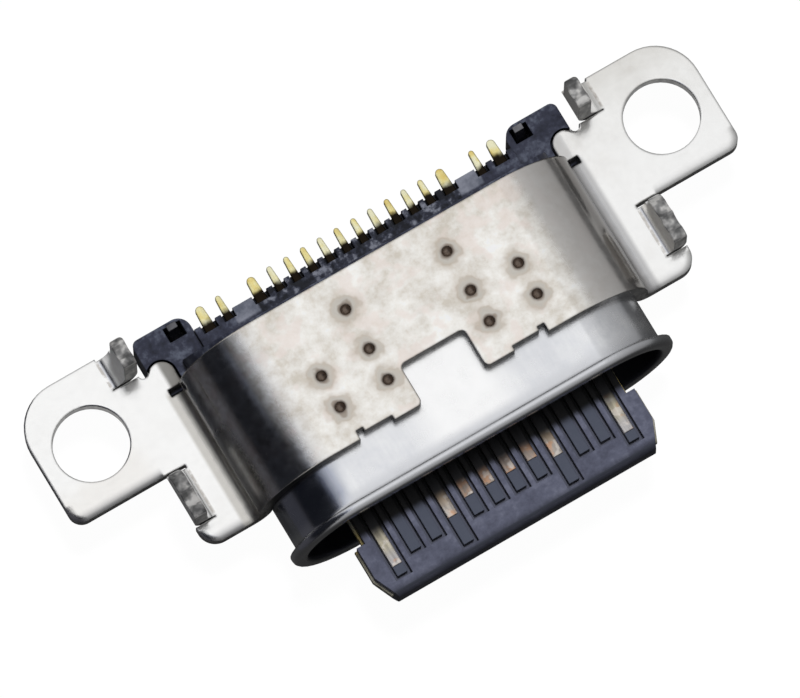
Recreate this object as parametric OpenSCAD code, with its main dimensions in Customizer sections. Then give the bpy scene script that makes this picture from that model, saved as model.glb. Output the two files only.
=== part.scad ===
// Board-mount charging port: a drawn shell and moulded tongue under a welded cover with two screw ears.
// The origin is midway between the two screw holes, on the seat that lies against the board.
// +X runs along the ears, the mouth opens towards -Y, and +Z points from the ears to the cover's top.

/* [Port shell] */
// Inside width of the port opening
port_w = 8.34; // [8:0.02:9]
// Inside height of the port opening
port_h = 2.56; // [2.4:0.02:2.8]
// Height of the port's centre above the board seat
port_z = 0.15; // [0.14:0.01:0.3]
// Distance from the screw-hole line forward to the mouth
mouth_y = 4.36; // [4:0.02:4.6]
// Distance from the screw-hole line back to the rear edge of the shell
shell_rear_y = 0.05; // [0.02:0.01:0.1]
// Sheet thickness of the drawn shell
shell_t = 0.15; // [0.1:0.01:0.2]
// How far the lip round the mouth stands out
lip_rise = 0.2; // [0.1:0.01:0.3]
// Thickness of the lip
lip_t = 0.2; // [0.16:0.01:0.24]
// Radius in the corner behind the lip
lip_fillet_r = 0.1; // [0.03:0.01:0.12]
// Rounding of the lip's outer front edge
lip_r = 0.14; // [0.05:0.01:0.15]
// Rounding of the mouth's inner edge
mouth_r = 0.12; // [0.05:0.01:0.14]

/* [Cover] */
// Sheet thickness of the cover, its ears and its tabs
cover_t = 0.3; // [0.25:0.01:0.35]
// Distance from the screw-hole line forward to the cover's front edge
cover_front_y = 3.1; // [2.9:0.05:3.3]
// Distance from the screw-hole line back to the cover's rear edge
cover_rear_y = 0.15; // [0.12:0.01:0.2]
// Inside radius of the bend between the arch and an ear
bend_r = 0.12; // [0.06:0.01:0.13]
// Width of the notch in the front edge
notch_w = 1.5; // [1.2:0.05:2]
// Depth of the notch in the front edge
notch_d = 0.93; // [0.6:0.01:1.1]
// Corner radius inside and beside the notch
notch_r = 0.12; // [0.05:0.01:0.2]
// Distance from the middle to the shallow step in the front edge
step_x = 1.42; // [1.3:0.01:1.5]
// Width of the shallow step
step_w = 0.64; // [0.4:0.01:0.8]
// Depth of the shallow step
step_d = 0.11; // [0.05:0.01:0.2]
// Width of the nick at the outer end of the step
nick_w = 0.16; // [0.1:0.01:0.3]
// Depth of the nick at the outer end of the step
nick_d = 0.2; // [0.1:0.01:0.3]

/* [Weld spots] */
// Diameter of a weld pit
weld_d = 0.22; // [0.15:0.01:0.3]
// Depth of a weld pit
weld_depth = 0.1; // [0.04:0.01:0.1]
// Distance of the inner weld columns from the pattern's middle
weld_inner_x = 1.2; // [1:0.05:1.4]
// Distance of the outer weld columns from the pattern's middle
weld_outer_x = 2.33; // [2:0.05:2.5]
// Sideways offset of the whole weld pattern
weld_shift_x = 0.09; // [-0.1:0.01:0.1]
// Distance of the first weld row behind the front edge
weld_first_y = 0.79; // [0.6:0.01:0.9]
// Distance of the second weld row behind the first
weld_second_y = 0.75; // [0.6:0.01:0.9]
// Distance of the third weld row behind the second
weld_third_y = 0.95; // [0.7:0.01:1]

/* [Ears] */
// Distance between the two screw holes
hole_spacing = 13.6; // [13.4:0.1:14.4]
// Diameter of a screw hole
hole_d = 1.6; // [1.2:0.05:1.8]
// Metal beyond the hole's centre at the outer end of an ear
ear_end = 1.15; // [1.05:0.05:1.5]
// Distance from the screw-hole line back to an ear's rear edge
ear_rear_y = 1.5; // [1.35:0.05:1.8]
// Distance from the screw-hole line forward to an ear's front edge
ear_front_y = 1.35; // [1.15:0.05:1.5]
// Radius of an ear's rear outer corner
ear_rear_r = 1; // [0.5:0.05:1.1]
// Radius of an ear's front outer corner
ear_front_r = 0.3; // [0.1:0.05:0.6]
// Width of the leg that runs forward beside the arch
leg_w = 1.11; // [1:0.01:1.4]
// Radius of the leg's outer front corner
leg_r = 0.4; // [0.2:0.05:0.45]

/* [Locating finger] */
// Gap between the shell's side and the finger
finger_gap = 0.22; // [0.15:0.01:0.3]
// Width of the finger
finger_w = 0.56; // [0.5:0.01:0.7]
// Distance from the screw-hole line back to the finger's round end
finger_rear_y = 0.79; // [0.75:0.01:0.85]
// Width of the relief cut in front of the finger
relief_w = 0.18; // [0.1:0.01:0.2]
// Length of the relief cut past the bend
relief_len = 0.14; // [0.08:0.01:0.16]

/* [Tabs] */
// Height of a rear tab above the board seat
rear_tab_h = 1.25; // [1:0.05:1.6]
// Height of a front tab above the board seat
front_tab_h = 0.78; // [0.7:0.01:1.2]
// Inside radius of a rear tab's bend
rear_bend_r = 0.3; // [0.15:0.01:0.35]
// Inside radius of a front tab's bend
front_bend_r = 0.18; // [0.12:0.01:0.3]
// Rounding of a rear tab's rear corner
rear_tab_rear_r = 0.3; // [0.1:0.01:0.35]
// Rounding of a front tab's rear corner
front_tab_rear_r = 0.55; // [0.2:0.01:0.6]
// Rounding of a tab's front corner
tab_front_r = 0.12; // [0.05:0.01:0.2]
// Rounding of a tab's upright edges at its rear end
tab_edge_r = 0.12; // [0.05:0.01:0.14]
// Radius of a scallop in a tab's top
scallop_r = 0.2; // [0.15:0.01:0.25]
// Depth of a scallop in a tab's top
scallop_d = 0.1; // [0.05:0.01:0.12]
// Length of a front tab
front_tab_len = 1.15; // [0.9:0.01:1.2]
// Width of the slit behind a front tab
slit_w = 0.08; // [0.06:0.01:0.18]
// Gap between the finger and the face of the rear tab
rear_tab_gap = 0.15; // [0.08:0.01:0.2]
// Distance from the screw-hole line back to the rear tab's root
rear_tab_y = 0.73; // [0.65:0.01:0.75]
// Relief gap at the end of a tab
tab_relief = 0.03; // [0.03:0.01:0.08]
// Step from an ear's rear edge to the end of its rear tab
rear_tab_step = 0.06; // [0.02:0.01:0.1]

/* [Tongue] */
// Width of the tongue over the metal plate
tongue_w = 6.69; // [6.6:0.01:6.9]
// Thickness of the tongue
tongue_t = 0.7; // [0.66:0.01:0.8]
// Distance from the screw-hole line forward to the tongue's tip
tongue_tip_y = 6.05; // [5.8:0.05:6.3]
// Length of the tongue in front of its base
tongue_len = 4.55; // [4.4:0.05:4.7]
// Sideways size of the tongue's corner chamfer
tongue_corner_x = 0.25; // [0.15:0.01:0.35]
// Lengthways size of the tongue's corner chamfer
tongue_corner_y = 0.57; // [0.4:0.01:0.7]
// Rounding along the tip's edge
tip_r = 0.2; // [0.08:0.01:0.24]
// Distance from the tip back to the latch notch
latch_start = 1.3; // [1.1:0.05:1.4]
// Length of the latch notch
latch_len = 1.3; // [1:0.05:1.6]
// Depth of the latch notch in the metal plate
latch_d = 0.2; // [0.1:0.01:0.25]

/* [Mid plate] */
// Thickness of the mid plate
plate_t = 0.15; // [0.12:0.01:0.2]
// How far the plate's edge stands out of the tongue's sides
plate_proud = 0.05; // [0.02:0.01:0.08]
// Plastic in front of the plate at the tip
plate_setback = 0.14; // [0.08:0.01:0.2]
// Gap between the plate's edge and the inside of the shell
plate_side_gap = 0.24; // [0.15:0.01:0.3]
// Width of the plate's two ground legs
plate_leg_w = 0.22; // [0.16:0.01:0.26]
// Distance of a ground leg's outer edge inside the shell's outer side
plate_leg_inset = 0.08; // [0.04:0.01:0.1]
// Depth of the ground legs' low run below the board seat
plate_leg_drop = 0.48; // [0.44:0.01:0.52]
// Depth of the ground legs' ends below the board seat
plate_end_drop = 0.02; // [0.01:0.01:0.04]

/* [Contacts] */
// Spacing of the contacts on the tongue
pitch = 0.5; // [0.49:0.01:0.5]
// Width of a contact on the tongue
contact_w = 0.23; // [0.2:0.01:0.28]
// Thickness of the contact strip
contact_t = 0.12; // [0.1:0.01:0.14]
// How far the contacts lie below the tongue's face
contact_sunk = 0.03; // [0:0.01:0.05]
// Clear space beside a contact in its slot
slot_side = 0.08; // [0.02:0.01:0.1]
// Distance from the tip to the ground contacts
ground_start = 0.6; // [0.4:0.05:0.8]
// Distance from the tip to the power contacts
power_start = 0.9; // [0.7:0.05:1]
// Distance from the tip to the signal contacts
signal_start = 1.1; // [0.9:0.05:1.2]
// Distance from the tip to the ground slots
ground_slot = 0.3; // [0.18:0.01:0.35]
// Distance from the tip to the power slots
power_slot = 0.18; // [0.15:0.01:0.3]
// Distance from the tip to the signal slots and the empty pockets
signal_slot = 0.6; // [0.4:0.01:0.7]
// Length of the empty pockets
pocket_len = 2.2; // [1.5:0.1:2.5]

/* [Contact route] */
// Length of a contact's straight run inside the base
jog_lead = 0.25; // [0.15:0.01:0.3]
// Length of a contact's sideways jog inside the base
jog_len = 0.95; // [0.8:0.01:1]
// Distance from the shell's rear edge to the drop towards the tails
drop_lead = 0.13; // [0.1:0.01:0.15]
// Length of the drop towards the tails
drop_len = 0.32; // [0.28:0.01:0.34]

/* [Tails] */
// Spacing of the signal tails
tail_pitch = 0.4; // [0.38:0.01:0.42]
// Spacing between a narrow tail and the wide one beside it
wide_pitch = 0.45; // [0.42:0.01:0.5]
// Spacing between the power and the ground tails
group_gap = 0.77; // [0.65:0.01:0.85]
// Width of a narrow tail
tail_w = 0.18; // [0.16:0.01:0.22]
// Width of a wide tail
wide_tail_w = 0.25; // [0.22:0.01:0.3]
// How much narrower a tail is at its round end than in the comb
tail_taper = 0.06; // [0.02:0.01:0.08]
// Distance from the screw-hole line back to the tails' ends
tail_end_y = 1.38; // [1.2:0.02:1.6]

/* [Rear housing] */
// Distance from the screw-hole line back to the comb's rear face
comb_rear_y = 0.98; // [0.92:0.01:1.1]
// Height of the comb's deck above the board seat
deck_z = 0.1; // [0.04:0.01:0.16]
// Plastic between the contacts' drop and the deck
deck_wall = 0.05; // [0.03:0.01:0.08]
// Length of the open slots in the comb
comb_slot_len = 0.19; // [0.12:0.01:0.25]
// Clear space beside a tail in the comb
comb_side = 0.05; // [0.03:0.01:0.06]
// Distance from the screw-hole line back to the wings' rear face
wing_rear_y = 1.42; // [1.35:0.01:1.6]
// Height of the wings from the underside
wing_h = 0.95; // [0.8:0.05:1.1]
// Depth of the wings' top below the board seat
wing_drop = 0.02; // [0.01:0.01:0.03]
// Plastic between the outermost tail and a wing
wing_gap = 0.19; // [0.12:0.01:0.25]
// Radius of a wing's inner rear corner
wing_inner_r = 0.3; // [0.15:0.01:0.35]
// Radius of a wing's outer rear corner
wing_outer_r = 0.15; // [0.05:0.01:0.25]
// Length of the pocket round a ground leg's end
leg_pocket_len = 0.33; // [0.25:0.01:0.36]
// Width of the pocket round a ground leg's end
leg_pocket_w = 0.4; // [0.32:0.01:0.46]
// Plastic behind the pocket round a ground leg's end
leg_pocket_wall = 0.08; // [0.05:0.01:0.1]

/* [Hidden] */
$fn = 64;
spare = 1;
seat_gap = 0.01;
fit_gap = 0.05;
columns = [1, 4, 5, 6, 7, 8, 9, 12];
empty_columns = [2, 3, 10, 11];
first_column = 1;
last_column = 12;
power_column = 4;
mid_column = (first_column + last_column) / 2;
tails_per_column = 2;
front_scallops = 2;
rear_scallops = 1;

// Shell section
half_w = port_w / 2;
half_h = port_h / 2;
end_x = half_w - half_h;
shell_r = half_h + shell_t;
mouth = -mouth_y;

// Cover section and its stations along Y
arch_r = shell_r + cover_t;
top_z = port_z + arch_r;
side_in_x = half_w + shell_t;
bend_x = side_in_x + cover_t + bend_r;
cover_front = -cover_front_y;
weld_rows = [
    cover_front + weld_first_y,
    cover_front + weld_first_y + weld_second_y,
    cover_front + weld_first_y + weld_second_y + weld_third_y
];

// Finger, tabs and ears
finger_in_x = side_in_x + finger_gap;
finger_out_x = finger_in_x + finger_w;
finger_mid_x = (finger_in_x + finger_out_x) / 2;
finger_mid_y = finger_rear_y - finger_w / 2;
rear_tab_x = finger_out_x + rear_tab_gap;
rear_tab_flat_x = rear_tab_x + cover_t + rear_bend_r;
rear_tab_front = rear_tab_y + tab_relief;
rear_tab_len = ear_rear_y - rear_tab_step - rear_tab_front;
leg_x = bend_x + leg_w;
front_tab_flat_x = leg_x - cover_t - front_bend_r;
front_tab_rear = -ear_front_y - slit_w;
front_tab_front = front_tab_rear - front_tab_len;
foot_rear = front_tab_front - tab_relief;
hole_x = hole_spacing / 2;
ear_x = hole_x + ear_end;

// Tongue and plate, measured from the port's centre plane
tongue_tip = -tongue_tip_y;
base_front = tongue_tip + tongue_len;
half_plate = plate_t / 2;
half_tongue = tongue_t / 2;
slot_floor = half_tongue - contact_sunk - contact_t;
contact_mid = slot_floor + contact_t / 2;
slot_w = contact_w + 2 * slot_side;
plastic_half_w = tongue_w / 2 - plate_proud;
plate_half_w = tongue_w / 2;
latch_front = tongue_tip + latch_start;

// Contact route: sideways jog inside the base, then down to the tails inside the housing
jog_front = base_front + jog_lead;
jog_rear = jog_front + jog_len;
drop_front = shell_rear_y + drop_lead;
drop_rear = drop_front + drop_len;
tail_mid_z = -contact_t / 2;
taper_y = comb_rear_y - comb_slot_len;
ground_tail_x = pair_tail_x(power_column) + wide_pitch + group_gap;

// Rear housing
deck_front = drop_rear + deck_wall;
wing_in_x = ground_tail_x + wide_pitch + wide_tail_w / 2 + wing_gap;
wing_out_x = finger_out_x - fit_gap;
wing_front = shell_rear_y + fit_gap;
wing_top = -wing_drop;
wing_bottom = wing_top - wing_h;

// Ground legs of the plate
plate_base_half_w = half_w - plate_side_gap;
plate_link_in_x = plate_base_half_w - plate_leg_w;
plate_leg_x = side_in_x - plate_leg_inset - plate_leg_w / 2;
plate_low_z = -plate_leg_drop;
plate_end_z = -plate_end_drop - half_plate;
leg_pocket_front = wing_rear_y - leg_pocket_wall - leg_pocket_len;

// Places and directions

function column_x(c) = (c - mid_column) * pitch;
function side_of(c) = c < mid_column ? -1 : 1;
function is_ground(c) = c == first_column || c == last_column;
function is_power(c) = c == power_column || c == first_column + last_column - power_column;
function contact_start(c) =
    tongue_tip + (is_ground(c) ? ground_start : is_power(c) ? power_start : signal_start);
function slot_start(c) =
    tongue_tip + (is_ground(c) ? ground_slot : is_power(c) ? power_slot : signal_slot);

// The lower row takes the inner tail of each pair and the upper row the outer one
function pair_tail_x(c) = (tails_per_column * abs(c - mid_column) - 1 / 2) * tail_pitch;
function inner_tail_x(c) = is_ground(c) ? ground_tail_x : pair_tail_x(c);
function pair_pitch(c) = is_ground(c) || is_power(c) ? wide_pitch : tail_pitch;
function tail_x(c, upper) = side_of(c) * (inner_tail_x(c) + (upper ? pair_pitch(c) : 0));
function tail_width(c, upper) = upper && (is_ground(c) || is_power(c)) ? wide_tail_w : tail_w;

// Outline of a bent strip of thickness t whose middle follows the path
function unit(v) = v / norm(v);
function left_of(v) = [-v[1], v[0]];
function leg_dir(path, i) = unit(path[i + 1] - path[i]);
function miter(path, i) =
    let (last = len(path) - 1,
         before = left_of(leg_dir(path, max(i - 1, 0))),
         after = left_of(leg_dir(path, min(i, last - 1))),
         mid = unit(before + after))
    mid / (mid * after);
function strip(path, t) = concat(
    [for (i = [0 : len(path) - 1]) path[i] + miter(path, i) * t / 2],
    [for (i = [len(path) - 1 : -1 : 0]) path[i] - miter(path, i) * t / 2]
);

// Drawing helpers

// A section drawn in X and Z, carried forward from one Y station to another
module along_y(rear, front)
    translate([0, rear, 0]) rotate([90, 0, 0]) linear_extrude(rear - front) children();

// A section drawn in Y and Z, carried across from one X station to another
module along_x(from, to)
    translate([from, 0, 0]) rotate([90, 0, 90]) linear_extrude(to - from) children();

// A plan drawn in X and Y, between two heights
module between(low, high)
    translate([0, 0, low]) linear_extrude(high - low) children();

module rect(x0, x1, y0, y1)
    translate([x0, y0]) square([x1 - x0, y1 - y0]);

module both_sides() {
    children();
    mirror([1, 0, 0]) children();
}

module stadium(r) {
    square([2 * end_x, 2 * r], center = true);
    for (s = [-1, 1])
        translate([s * end_x, 0]) circle(r);
}

// What lies outside a rounded corner; dir points from the sharp corner into the sheet
module corner_cut(p, r, dir)
    translate(p) mirror([dir[0] < 0 ? 1 : 0, 0]) mirror([0, dir[1] < 0 ? 1 : 0])
        difference() {
            translate([-spare, -spare]) square(r + spare);
            translate([r, r]) circle(r);
        }

// Quarter of a bent sheet, below and left of the bend's centre
module quarter_ring(r, t)
    intersection() {
        difference() {
            circle(r + t);
            circle(r);
        }
        translate([-r - t, -r - t]) square(r + t);
    }

// Port shell

// Wall and lip, as distance from the round end's axis and distance forward
module shell_profile() {
    difference() {
        union() {
            translate([half_h, -shell_rear_y]) square([shell_t, mouth_y + shell_rear_y]);
            translate([half_h, mouth_y - lip_t]) square([shell_t + lip_rise, lip_t]);
            translate([shell_r, mouth_y - lip_t - lip_fillet_r]) difference() {
                square(lip_fillet_r);
                translate([lip_fillet_r, 0]) circle(lip_fillet_r);
            }
        }
        corner_cut([half_h, mouth_y], mouth_r, [1, -1]);
        corner_cut([shell_r + lip_rise, mouth_y], lip_r, [-1, -1]);
    }
}

// A profile carried round the port: two half turns and two straight runs
module round_the_port()
    translate([0, 0, port_z]) rotate([90, 0, 0]) {
        for (s = [-1, 1]) {
            translate([s * end_x, 0, 0]) rotate([0, 0, -s * 90]) rotate_extrude(angle = 180) children();
            rotate([0, 0, s > 0 ? 0 : 180])
                rotate([90, 0, 90]) linear_extrude(2 * end_x, center = true) children();
        }
    }

module port_shell()
    color([0.88, 0.89, 0.92]) round_the_port() shell_profile();

// Mounting cover

module arch_section()
    translate([0, port_z]) intersection() {
        difference() {
            stadium(arch_r);
            stadium(shell_r);
        }
        translate([-end_x - arch_r, 0]) square([2 * (end_x + arch_r), arch_r]);
    }

// Side of the arch below the port's centre, turned out to the ear
module bend_section() {
    rect(side_in_x, side_in_x + cover_t, bend_r, port_z);
    translate([bend_x, bend_r]) quarter_ring(bend_r, cover_t);
}

module front_edge_cuts() {
    difference() {
        rect(-notch_w / 2, notch_w / 2, cover_front - spare, cover_front + notch_d);
        for (s = [-1, 1])
            corner_cut([s * notch_w / 2, cover_front + notch_d], notch_r, [-s, -1]);
    }
    both_sides() {
        corner_cut([notch_w / 2, cover_front], notch_r, [1, 1]);
        rect(step_x, step_x + step_w, cover_front - spare, cover_front + step_d);
        rect(step_x + step_w, step_x + step_w + nick_w, cover_front - spare, cover_front + nick_d);
    }
}

module ear_outline()
    difference() {
        union() {
            rect(wing_out_x, ear_x, -ear_front_y, rear_tab_y);
            rect(rear_tab_flat_x, ear_x, rear_tab_y, ear_rear_y);
            rect(bend_x, finger_out_x, -ear_front_y, finger_mid_y);
            rect(bend_x, front_tab_flat_x, cover_front, -ear_front_y);
            rect(front_tab_flat_x, leg_x, cover_front, foot_rear);
            rect(finger_in_x, finger_out_x, 0, finger_mid_y);
            translate([finger_mid_x, finger_mid_y]) circle(finger_w / 2);
        }
        rect(finger_in_x - spare, bend_x + relief_len, 0, relief_w);
        finger_slot();
        corner_cut([ear_x, ear_rear_y], ear_rear_r, [-1, -1]);
        corner_cut([ear_x, -ear_front_y], ear_front_r, [-1, 1]);
        corner_cut([leg_x, cover_front], leg_r, [-1, 1]);
        rect(front_tab_flat_x, leg_x, front_tab_rear, -ear_front_y);
    }

// Round bottom of the slot between the finger and the rear tab
module finger_slot()
    translate([(wing_out_x + rear_tab_x) / 2, rear_tab_y]) circle((rear_tab_x - wing_out_x) / 2);

// A tab's outline seen from the side, with scallops spaced evenly along its top
module tab_side(length, height, rear_r, scallops)
    difference() {
        rect(0, length, -cover_t, height);
        corner_cut([0, height], tab_front_r, [1, -1]);
        corner_cut([length, height], rear_r, [-1, -1]);
        for (i = [1 : scallops])
            translate([length * i / (scallops + 1), height + scallop_r - scallop_d]) circle(scallop_r);
    }

// A tab that leaves the ear at X = 0 and turns up towards +X, from Y = 0 to its length
module bent_tab(length, height, bend_r, rear_r, scallops)
    difference() {
        intersection() {
            along_y(length, 0) {
                translate([0, bend_r]) mirror([1, 0]) quarter_ring(bend_r, cover_t);
                rect(bend_r, bend_r + cover_t, bend_r, height);
            }
            along_x(0, bend_r + cover_t) tab_side(length, height, rear_r, scallops);
        }
        between(bend_r, height + spare) {
            corner_cut([bend_r, length], tab_edge_r, [1, -1]);
            corner_cut([bend_r + cover_t, length], tab_edge_r, [-1, -1]);
        }
    }

module ear() {
    between(-cover_t, 0) ear_outline();
    along_y(0, cover_front) bend_section();
    translate([front_tab_flat_x, front_tab_front, 0])
        bent_tab(front_tab_len, front_tab_h, front_bend_r, front_tab_rear_r, front_scallops);
    translate([rear_tab_flat_x, rear_tab_front, 0]) mirror([1, 0, 0])
        bent_tab(rear_tab_len, rear_tab_h, rear_bend_r, rear_tab_rear_r, rear_scallops);
}

module weld_pit() {
    r = (weld_d * weld_d / 4 + weld_depth * weld_depth) / (2 * weld_depth);
    translate([0, 0, top_z + r - weld_depth]) sphere(r);
}

module weld_pits()
    translate([weld_shift_x, 0, 0]) for (s = [-1, 1], row = [0 : 2]) {
        translate([s * weld_inner_x, weld_rows[row], 0]) weld_pit();
        if (row < 2)
            translate([s * weld_outer_x, weld_rows[row], 0]) weld_pit();
    }

module mounting_cover()
    color([0.9, 0.88, 0.84]) difference() {
        union() {
            along_y(cover_rear_y, cover_front) arch_section();
            both_sides() ear();
        }
        between(port_z, top_z + spare) front_edge_cuts();
        weld_pits();
        both_sides()
            translate([hole_x, 0, -cover_t - spare]) cylinder(h = cover_t + 2 * spare, d = hole_d);
    }

// Contacts

module contact_plan(c, upper) {
    x0 = column_x(c);
    x1 = tail_x(c, upper);
    half = contact_w / 2;
    tail_half = tail_width(c, upper) / 2;
    tip_half = tail_half - tail_taper / 2;
    tip_y = tail_end_y - tip_half;
    polygon([
        [x0 - half, contact_start(c)], [x0 + half, contact_start(c)],
        [x0 + half, jog_front], [x1 + tail_half, jog_rear],
        [x1 + tail_half, taper_y], [x1 + tip_half, tip_y],
        [x1 - tip_half, tip_y], [x1 - tail_half, taper_y],
        [x1 - tail_half, jog_rear], [x0 - half, jog_front]
    ]);
    translate([x1, tip_y]) circle(tip_half);
}

module contact(c, upper) {
    level = port_z + (upper ? contact_mid : -contact_mid);
    route = [
        [contact_start(c) - spare, level], [drop_front, level],
        [drop_rear, tail_mid_z], [tail_end_y + spare, tail_mid_z]
    ];
    color([0.9, 0.78, 0.42]) intersection() {
        between(-spare, top_z) contact_plan(c, upper);
        along_x(-half_w, half_w) polygon(strip(route, contact_t));
    }
}

module contact_row(upper)
    for (c = columns) contact(c, upper);

// Mid plate

module tongue_plan(edge_x, notch_x)
    difference() {
        polygon([
            [-edge_x, base_front], [-edge_x, tongue_tip + tongue_corner_y],
            [tongue_corner_x - edge_x, tongue_tip], [edge_x - tongue_corner_x, tongue_tip],
            [edge_x, tongue_tip + tongue_corner_y], [edge_x, base_front]
        ]);
        both_sides() rect(notch_x, edge_x + spare, latch_front, latch_front + latch_len);
    }

module plate_plan() {
    difference() {
        tongue_plan(plate_half_w, plate_half_w - latch_d);
        rect(-plate_half_w, plate_half_w, tongue_tip - spare, tongue_tip + plate_setback);
    }
    rect(-plate_base_half_w, plate_base_half_w, base_front, jog_rear);
    both_sides() {
        rect(plate_link_in_x, plate_base_half_w, jog_rear, drop_front);
        rect(plate_link_in_x, plate_leg_x + plate_leg_w / 2, wing_front, drop_front);
        rect(plate_leg_x - plate_leg_w / 2, plate_leg_x + plate_leg_w / 2, wing_front, wing_rear_y - fit_gap);
    }
}

module mid_plate() {
    low_rear = leg_pocket_front + leg_pocket_len - fit_gap;
    route = [
        [tongue_tip - spare, port_z], [drop_front, port_z], [drop_rear, plate_low_z],
        [low_rear - plate_t, plate_low_z], [low_rear, plate_end_z], [wing_rear_y + spare, plate_end_z]
    ];
    color([0.86, 0.8, 0.6]) intersection() {
        between(-spare, top_z) plate_plan();
        along_x(-half_w - spare, half_w + spare) polygon(strip(route, plate_t));
    }
}

// Insulators

// A slot in the tongue's face; a pad level with the contacts stands in its front part
module slot_cut(front, rear, pad_rear) {
    between(slot_floor, half_tongue + spare) difference() {
        rect(-slot_w / 2, slot_w / 2, front, rear);
        rect(-contact_w / 2, contact_w / 2, front + slot_side, pad_rear);
    }
    between(half_tongue - contact_sunk, half_tongue + spare)
        rect(-contact_w / 2, contact_w / 2, front + slot_side, pad_rear);
}

// Upper half of the tongue and its base, about the port's centre plane
module insulator_half() {
    difference() {
        union() {
            intersection() {
                between(half_plate, half_tongue)
                    tongue_plan(plastic_half_w, plate_half_w - latch_d - plate_proud);
                along_x(-half_w, half_w) difference() {
                    rect(tongue_tip, base_front, half_plate, half_tongue);
                    corner_cut([tongue_tip, half_tongue], tip_r, [1, -1]);
                }
            }
            along_y(shell_rear_y, base_front) intersection() {
                stadium(half_h - seat_gap);
                rect(-half_w, half_w, half_plate, half_h);
            }
        }
        for (c = columns)
            translate([column_x(c), 0, 0])
                slot_cut(slot_start(c), base_front, contact_start(c) - seat_gap);
        for (c = empty_columns)
            translate([column_x(c), 0, 0])
                slot_cut(slot_start(c), slot_start(c) + pocket_len, slot_start(c) + pocket_len - slot_side);
    }
}

// Plastic that closes the tip in front of the mid plate
module tip_filler()
    between(port_z - half_plate, port_z + half_plate) intersection() {
        tongue_plan(plastic_half_w, plastic_half_w);
        rect(-half_w, half_w, tongue_tip, tongue_tip + plate_setback);
    }

// Plastic that closes the base beside the mid plate and between its links
module base_filler()
    between(port_z - half_plate, port_z + half_plate) {
        both_sides()
            rect(plate_base_half_w + seat_gap, half_w - seat_gap, base_front, shell_rear_y);
        rect(seat_gap - plate_link_in_x, plate_link_in_x - seat_gap, jog_rear + seat_gap, shell_rear_y);
    }

module upper_insulator()
    color([0.2, 0.21, 0.25]) {
        difference() {
            translate([0, 0, port_z]) insulator_half();
            contact_row(true);
        }
        tip_filler();
    }

module lower_insulator()
    color([0.17, 0.18, 0.22]) {
        difference() {
            translate([0, 0, port_z]) mirror([0, 0, 1]) insulator_half();
            contact_row(false);
        }
        base_filler();
    }

// Rear housing

module wing_plan()
    difference() {
        rect(wing_in_x, wing_out_x, wing_front, wing_rear_y);
        corner_cut([wing_in_x, wing_rear_y], wing_inner_r, [1, -1]);
        corner_cut([wing_out_x, wing_rear_y], wing_outer_r, [-1, -1]);
    }

// Recess in the wing's top that holds the cover's finger
module finger_recess() {
    rect(finger_in_x - fit_gap, wing_out_x + spare, wing_front - spare, finger_mid_y);
    translate([finger_mid_x, finger_mid_y]) circle(finger_w / 2 + fit_gap);
}

module housing_block() {
    intersection() {
        along_y(deck_front, shell_rear_y) translate([0, port_z]) stadium(shell_r - seat_gap);
        along_x(-half_w - spare, half_w + spare) polygon([
            [shell_rear_y, -spare - top_z], [deck_front, -spare - top_z],
            [deck_front, deck_z], [cover_rear_y + fit_gap, top_z], [shell_rear_y, top_z]
        ]);
    }
    between(wing_bottom, deck_z) rect(-wing_in_x, wing_in_x, shell_rear_y, comb_rear_y);
    both_sides() between(wing_bottom, wing_top) wing_plan();
}

module rear_housing()
    color([0.22, 0.23, 0.28]) difference() {
        housing_block();
        both_sides() {
            between(-cover_t, spare) finger_recess();
            between(plate_low_z - plate_t, spare) translate([plate_leg_x, leg_pocket_front])
                rect(-leg_pocket_w / 2, leg_pocket_w / 2, 0, leg_pocket_len);
        }
        between(-contact_t, deck_z + spare) for (c = columns, upper = [true, false]) {
            open_half = tail_width(c, upper) / 2 + comb_side;
            translate([tail_x(c, upper), comb_rear_y])
                rect(-open_half, open_half, -comb_slot_len, spare);
        }
        contact_row(true);
        contact_row(false);
        mid_plate();
    }

mounting_cover();
port_shell();
rear_housing();
upper_insulator();
lower_insulator();
mid_plate();
for (c = columns) {
    contact(c, true);
    contact(c, false);
}
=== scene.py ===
# Dresses the charging port: materials, floor, soft studio light and the camera of the photograph.
import math

import bpy
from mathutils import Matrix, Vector


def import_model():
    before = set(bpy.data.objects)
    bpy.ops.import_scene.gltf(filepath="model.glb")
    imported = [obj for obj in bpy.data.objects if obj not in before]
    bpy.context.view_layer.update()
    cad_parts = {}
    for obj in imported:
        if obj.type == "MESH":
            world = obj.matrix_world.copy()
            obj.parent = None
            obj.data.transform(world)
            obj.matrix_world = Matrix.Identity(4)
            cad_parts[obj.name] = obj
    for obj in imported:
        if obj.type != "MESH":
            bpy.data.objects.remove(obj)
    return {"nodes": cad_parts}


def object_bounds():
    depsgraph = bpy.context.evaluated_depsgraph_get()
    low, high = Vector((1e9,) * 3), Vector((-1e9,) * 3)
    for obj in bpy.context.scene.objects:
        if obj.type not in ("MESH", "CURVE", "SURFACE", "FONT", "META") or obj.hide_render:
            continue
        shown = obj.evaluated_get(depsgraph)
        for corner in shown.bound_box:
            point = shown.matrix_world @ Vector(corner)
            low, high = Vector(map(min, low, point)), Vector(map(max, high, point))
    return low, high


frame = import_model()
cad_low, cad_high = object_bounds()
nodes = frame["nodes"]
MM = 0.001

# Places on the part, in mm. The paired rows have an inner and an outer weld on each side
PORT_Z = 0.15
PORT_END_X = 2.89
WELD_SHIFT = 0.09
WELD_INNER = 1.2
WELD_OUTER = 2.33
WELD_ROWS = (-2.31, -1.56, -0.61)
PAIRED_ROWS = WELD_ROWS[:2]
RING_WANDER = 0.4

# Where the tabs leave the ears: distance from the middle, rear and front
TAB_CREASES = ((5.37, -1.43, -2.58), (5.85, 1.44, 0.76))
CREASE_FADE = 0.1

# Edge and hollow nodes look round with this many rays
LOOKS_ROUND = 8


# Node trees

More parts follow.
